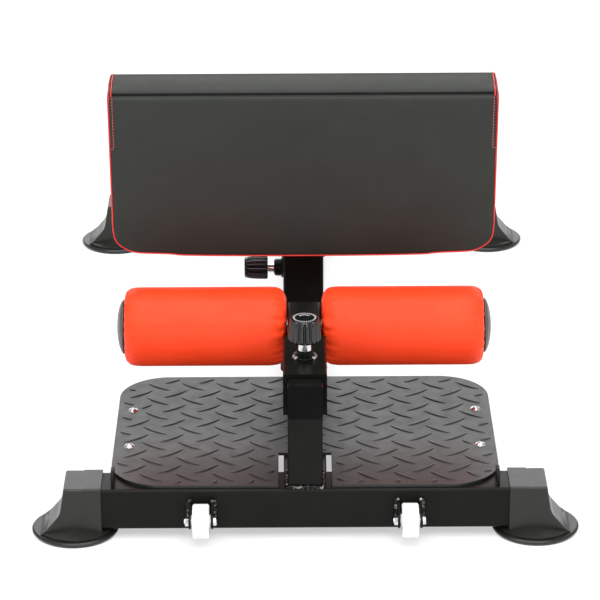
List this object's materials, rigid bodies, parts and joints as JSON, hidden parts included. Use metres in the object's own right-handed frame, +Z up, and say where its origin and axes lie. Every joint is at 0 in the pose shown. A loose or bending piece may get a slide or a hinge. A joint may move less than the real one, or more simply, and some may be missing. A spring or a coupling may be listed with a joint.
{
  "type": "squat bench",
  "caption": "Floor-standing squat bench with a footplate, ankle rollers on a sliding arm and a height-adjustable padded calf rest on a T-shaped tube frame.",
  "frame": {"origin": "on the floor, under the middle of the bench's length and width", "axes": "+Z up, +X to the user's left as they face -Y with their calves against the pad, -Y the way the user faces"},
  "size_m": [0.636, 1.0425, 0.4638],
  "materials": {
    "frame_black": "satin black powder coat",
    "foot_rubber": "moulded satin black rubber",
    "plate_black": "black powder coat over diamond plate",
    "hardware": "bright zinc and chrome",
    "wheel_white": "white nylon",
    "guide_black": "matt black moulded plastic",
    "cap_black": "satin black moulded plastic",
    "roller_vinyl": "orange-red upholstery vinyl",
    "pad_vinyl": "charcoal upholstery vinyl with red piping",
    "pad_board": "plywood under black backing cloth",
    "knob_black": "black moulded plastic"
  },
  "bodies": {
    "frame": {"front_stabiliser": "frame_black", "rear_stabiliser": "frame_black", "base_rail": "frame_black", "front_post": "frame_black", "arm_sleeve": "frame_black", "mast": "frame_black", "post_weld": "frame_black", "mast_weld": "frame_black", "foot_front_left": "foot_rubber", "foot_front_right": "foot_rubber", "foot_rear_left": "foot_rubber", "foot_rear_right": "foot_rubber", "footplate": "plate_black", "plate_bearer_left": "frame_black", "plate_bearer_right": "frame_black", "plate_strip_left": "frame_black", "plate_strip_right": "frame_black", "side_ear_left": "frame_black", "side_ear_right": "frame_black", "plate_bolts": "hardware", "plate_nuts": "hardware", "wheel_lug_left_inner": "frame_black", "wheel_lug_left_outer": "frame_black", "wheel_lug_right_inner": "frame_black", "wheel_lug_right_outer": "frame_black", "wheel_bolts": "hardware", "wheel_nuts": "hardware", "sleeve_guide_front": "guide_black", "sleeve_guide_rear": "guide_black", "mast_bush": "guide_black", "arm_pin_boss": "frame_black", "arm_pin_barrel": "hardware", "pad_pin_boss": "frame_black", "pad_pin_barrel": "hardware"},
    "arm": {"arm_tube": "frame_black", "arm_front_cap": "guide_black", "arm_rear_cap": "guide_black", "roller_axle": "hardware", "roller_cap_left": "cap_black", "roller_cap_right": "cap_black"},
    "left_roller": {"roller_core_left": "guide_black", "roller_foam_left": "roller_vinyl"},
    "right_roller": {"roller_core_right": "guide_black", "roller_foam_right": "roller_vinyl"},
    "pad_carriage": {"pad_post": "frame_black", "pad_post_guide": "guide_black", "pad_post_cap": "guide_black", "pad_cushion": "pad_vinyl", "pad_board": "pad_board", "pad_bracket": "frame_black", "pad_gusset_left": "frame_black", "pad_gusset_right": "frame_black", "pad_bolts": "hardware"},
    "left_wheel": {"wheel_left": "wheel_white"},
    "right_wheel": {"wheel_right": "wheel_white"},
    "arm_pull": {"arm_pin_plunger": "hardware"},
    "arm_knob": {"arm_pin_knob": "knob_black"},
    "pad_pull": {"pad_pin_plunger": "hardware"},
    "pad_knob": {"pad_pin_knob": "knob_black"}
  },
  "joints": [
    {"name": "arm_slide", "type": "slide", "parent": "frame", "child": "arm", "axis": [0, 1, 0], "range_m": [-0.04, 0.02]},
    {"name": "left_roller_spin", "type": "hinge", "parent": "arm", "child": "left_roller", "pos_m": [-0.1185, -0.27925, 0.182], "axis": [1, 0, 0], "continuous": true},
    {"name": "right_roller_spin", "type": "hinge", "parent": "arm", "child": "right_roller", "pos_m": [0.1185, -0.27925, 0.182], "axis": [1, 0, 0], "continuous": true},
    {"name": "pad_height", "type": "slide", "parent": "frame", "child": "pad_carriage", "axis": [0, 0, 1], "range_m": [0, 0.1]},
    {"name": "left_wheel_spin", "type": "hinge", "parent": "frame", "child": "left_wheel", "pos_m": [-0.12, -0.50125, 0.033], "axis": [1, 0, 0], "continuous": true},
    {"name": "right_wheel_spin", "type": "hinge", "parent": "frame", "child": "right_wheel", "pos_m": [0.12, -0.50125, 0.033], "axis": [1, 0, 0], "continuous": true},
    {"name": "arm_pin_pull", "type": "slide", "parent": "frame", "child": "arm_pull", "axis": [0, 0, 1], "range_m": [0, 0.008], "stiffness_N_per_m": 1500, "springref_m": -0.006},
    {"name": "arm_knob_turn", "type": "hinge", "parent": "arm_pull", "child": "arm_knob", "pos_m": [0, -0.43125, 0.207], "axis": [0, 0, 1], "continuous": true},
    {"name": "pad_pin_pull", "type": "slide", "parent": "frame", "child": "pad_pull", "axis": [-1, 0, 0], "range_m": [0, 0.008], "stiffness_N_per_m": 1500, "springref_m": -0.006},
    {"name": "pad_knob_turn", "type": "hinge", "parent": "pad_pull", "child": "pad_knob", "pos_m": [-0.025, -0.10925, 0.19], "axis": [-1, 0, 0], "continuous": true}
  ]
}
